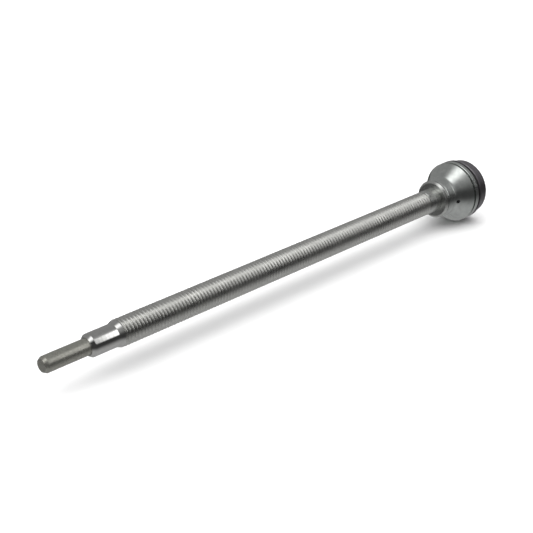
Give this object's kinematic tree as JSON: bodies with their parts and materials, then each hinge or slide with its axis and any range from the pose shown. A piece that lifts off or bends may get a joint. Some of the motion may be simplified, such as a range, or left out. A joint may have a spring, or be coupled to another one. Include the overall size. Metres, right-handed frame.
{
  "type": "threaded forcing spindle with swivel pressure head",
  "caption": "Long fine-threaded steel spindle with a stepped pilot nose and a swivelling round pressure head on a ball thrust bearing.",
  "frame": {"origin": "centre of the head's flat pressure face", "axes": "+X along the spindle, out of the pressure face; the pilot pin points along -X"},
  "size_m": [0.269, 0.0306, 0.0306],
  "materials": {
    "thread_steel": "polished",
    "pin_steel": "matt",
    "head_steel": "polished",
    "face_steel": "satin",
    "race_steel": "ground",
    "ball_steel": "polished",
    "brass": "satin",
    "bronze": "satin",
    "black_steel": "black oxide",
    "rubber": "matt"
  },
  "bodies": {
    "screw": {"spindle": "thread_steel", "pilot_pin": "pin_steel", "thrust_collar": "head_steel", "shaft_washer": "race_steel", "retaining_washer": "black_steel", "retaining_screw": "black_steel"},
    "cage": {"ball_cage": "brass", "ball_1": "ball_steel", "ball_2": "ball_steel", "ball_3": "ball_steel", "ball_4": "ball_steel", "ball_5": "ball_steel", "ball_6": "ball_steel", "ball_7": "ball_steel", "ball_8": "ball_steel", "ball_9": "ball_steel"},
    "head": {"head_housing": "head_steel", "head_grub_screw": "black_steel", "wiper_ring": "rubber", "housing_washer": "race_steel", "pivot_bush": "bronze", "closing_ring": "head_steel", "pressure_plate": "face_steel", "snap_ring": "black_steel"}
  },
  "joints": [
    {"name": "head_spin", "type": "hinge", "parent": "screw", "child": "head", "pos_m": [-0.019, 0, 0], "axis": [1, 0, 0], "continuous": true},
    {"name": "cage_spin", "type": "hinge", "parent": "screw", "child": "cage", "pos_m": [-0.0242, 0, 0], "axis": [1, 0, 0], "continuous": true}
  ],
  "couplings": [
    {"joint": "cage_spin", "follows": "head_spin", "ratio": 0.5}
  ]
}
